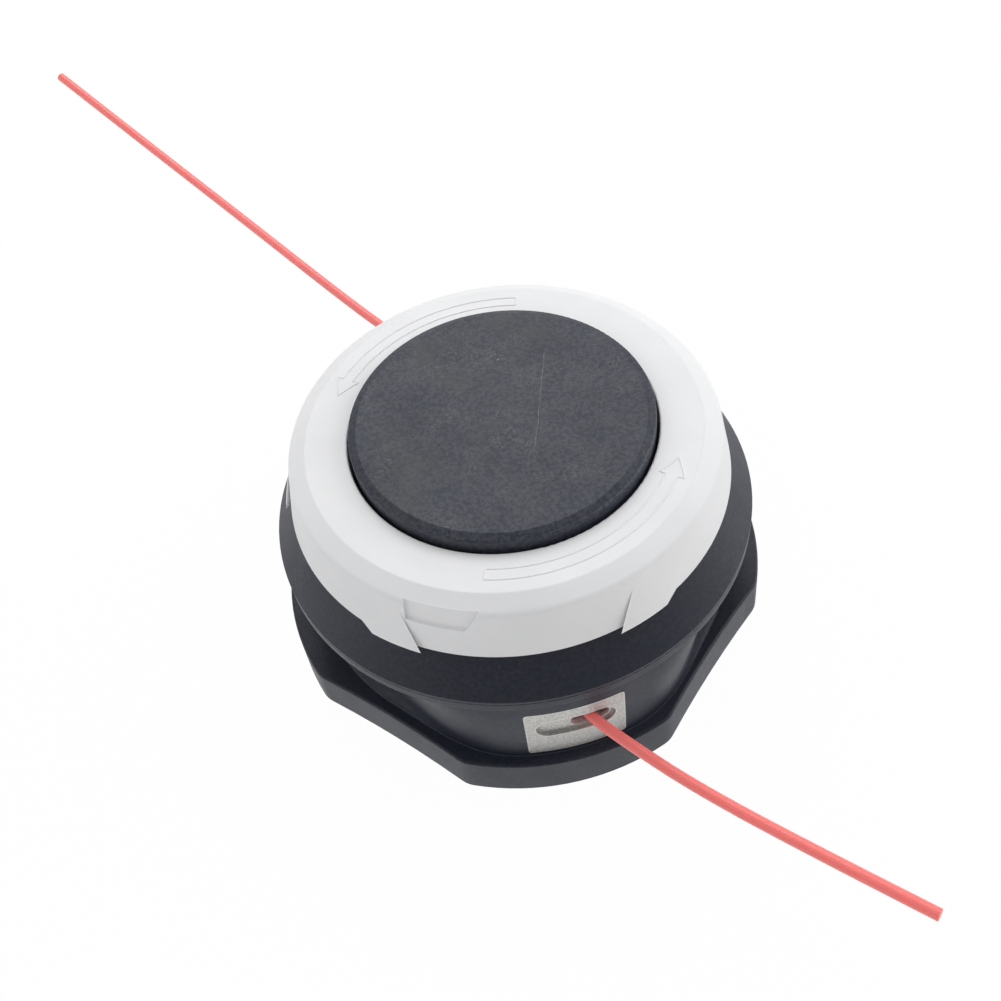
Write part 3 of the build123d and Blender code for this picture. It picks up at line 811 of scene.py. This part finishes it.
def make_camera():
    camera = bpy.data.cameras.new("camera")
    camera.sensor_width = SENSOR_WIDTH
    camera.lens = LENS
    camera.clip_start = 0.01
    stand = bpy.data.objects.new("camera", camera)
    bpy.context.scene.collection.objects.link(stand)
    stand.matrix_world = (
        Matrix.Rotation(VIEW_TURN, 4, "Z")
        @ Matrix.Translation((0.0, 0.0, AIM_HEIGHT))
        @ Matrix.Rotation(math.pi / 2 - VIEW_ELEVATION, 4, "X")
        @ Matrix.Translation((0.0, 0.0, VIEW_DISTANCE))
        @ Matrix.Rotation(VIEW_PAN, 4, "Y")
        @ Matrix.Rotation(VIEW_TILT, 4, "X")
        @ Matrix.Rotation(VIEW_ROLL, 4, "Z")
    )
    bpy.context.scene.camera = stand


def area_light(name, place, power):
    """Round soft lamp that faces the object."""
    light = bpy.data.lights.new(name, "AREA")
    light.shape = "DISK"
    light.size = LAMP_SIZE
    light.energy = power
    stand = bpy.data.objects.new(name, light)
    bpy.context.scene.collection.objects.link(stand)
    stand.location = place
    stand.rotation_euler = (-Vector(place)).to_track_quat("-Z", "Y").to_euler()


def seen_directly(graph):
    """Mask of rays that look at the backdrop: from the camera, a mirror or a clear piece."""
    path = graph.add("ShaderNodeLightPath").outputs
    either = graph.math("MAXIMUM", path["Is Camera Ray"], path["Is Glossy Ray"])
    return graph.math("MAXIMUM", either, path["Is Transmission Ray"])


def make_floor():
    mesh = bpy.data.meshes.new("floor")
    signs = ((-1, -1), (1, -1), (1, 1), (-1, 1))
    corners = [(x * FLOOR_HALF, y * FLOOR_HALF, -FLOOR_DROP) for x, y in signs]
    mesh.from_pydata(corners, [], [range(len(corners))])
    floor = new_piece("floor", mesh)
    material = bpy.data.materials.new("floor_white")
    material.use_nodes = True
    tree = material.node_tree
    tree.nodes.clear()
    graph = Graph(tree)
    matte = graph.add("ShaderNodeBsdfDiffuse", {"Color": FLOOR_COLOUR}).outputs[0]
    white = graph.add("ShaderNodeEmission", {"Color": WHITE, "Strength": 1.0}).outputs[0]
    share = graph.math("MULTIPLY", seen_directly(graph), FLOOR_WHITE_SHARE)
    mixed = graph.add("ShaderNodeMixShader", {0: share, 1: matte, 2: white}).outputs[0]
    graph.add("ShaderNodeOutputMaterial", {"Surface": mixed})
    mesh.materials.append(material)


def make_world():
    """White sweep to the eye, even soft light, and for mirrors a sweep with a dim ceiling and front."""
    world = bpy.data.worlds.new("studio")
    bpy.context.scene.world = world
    world.use_nodes = True
    tree = world.node_tree
    tree.nodes.clear()
    graph = Graph(tree)
    path = graph.add("ShaderNodeLightPath").outputs
    direction = graph.add("ShaderNodeTexCoord").outputs["Generated"]
    ways = graph.add("ShaderNodeSeparateXYZ", {0: direction}).outputs
    sweep = graph.ramp(ways["Z"], 0.0, SWEEP_TOP, 1.0, CEILING_STRENGTH)
    sweep = graph.math("MULTIPLY", sweep, graph.ramp(ways["Y"], *FRONT_BAND, FRONT_SHARE, 1.0))
    soft = graph.add("ShaderNodeBackground", {"Color": WHITE, "Strength": SOFT_STRENGTH}).outputs[0]
    mirrored = graph.add("ShaderNodeBackground", {"Color": WHITE, "Strength": sweep}).outputs[0]
    white = graph.add("ShaderNodeBackground", {"Color": WHITE, "Strength": 1.0}).outputs[0]
    lit = graph.add("ShaderNodeMixShader", {0: path["Is Glossy Ray"], 1: soft, 2: mirrored}).outputs[0]
    clear = graph.math("MAXIMUM", path["Is Camera Ray"], path["Is Transmission Ray"])
    mixed = graph.add("ShaderNodeMixShader", {0: clear, 1: lit, 2: white}).outputs[0]
    graph.add("ShaderNodeOutputWorld", {"Surface": mixed})


make_camera()
make_floor()
make_world()
for name, place, power in LAMPS:
    area_light(name, place, power)
bpy.context.scene.view_settings.view_transform = "Standard"
